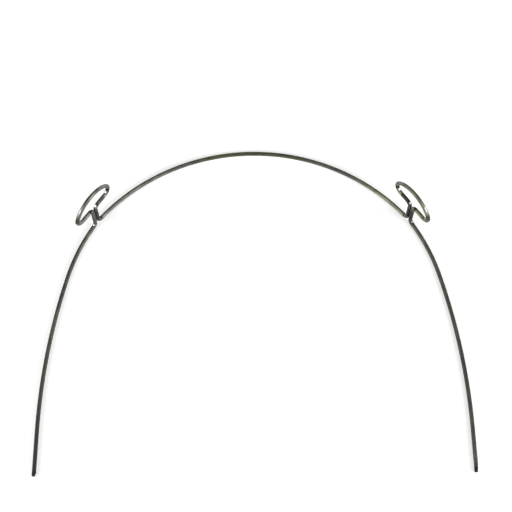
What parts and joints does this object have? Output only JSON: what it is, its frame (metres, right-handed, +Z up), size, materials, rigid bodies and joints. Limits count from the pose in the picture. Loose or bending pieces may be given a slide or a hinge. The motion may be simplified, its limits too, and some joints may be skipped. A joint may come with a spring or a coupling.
{
  "type": "bent wire hoop",
  "caption": "Bent steel wire hoop with a T-shaped tie ear folded up at each shoulder and straight leg tips for pushing into soil.",
  "frame": {"origin": "centre of the hoop's box, on the surface that it lies on", "axes": "+X across the hoop from leg to leg, +Y towards the top of the arch, +Z up, the way the ears stand"},
  "size_m": [0.4168, 0.3358, 0.0635],
  "materials": {
    "drawn_wire": "satin"
  },
  "bodies": {
    "root": {"wire_hoop": "drawn_wire"}
  },
  "joints": []
}
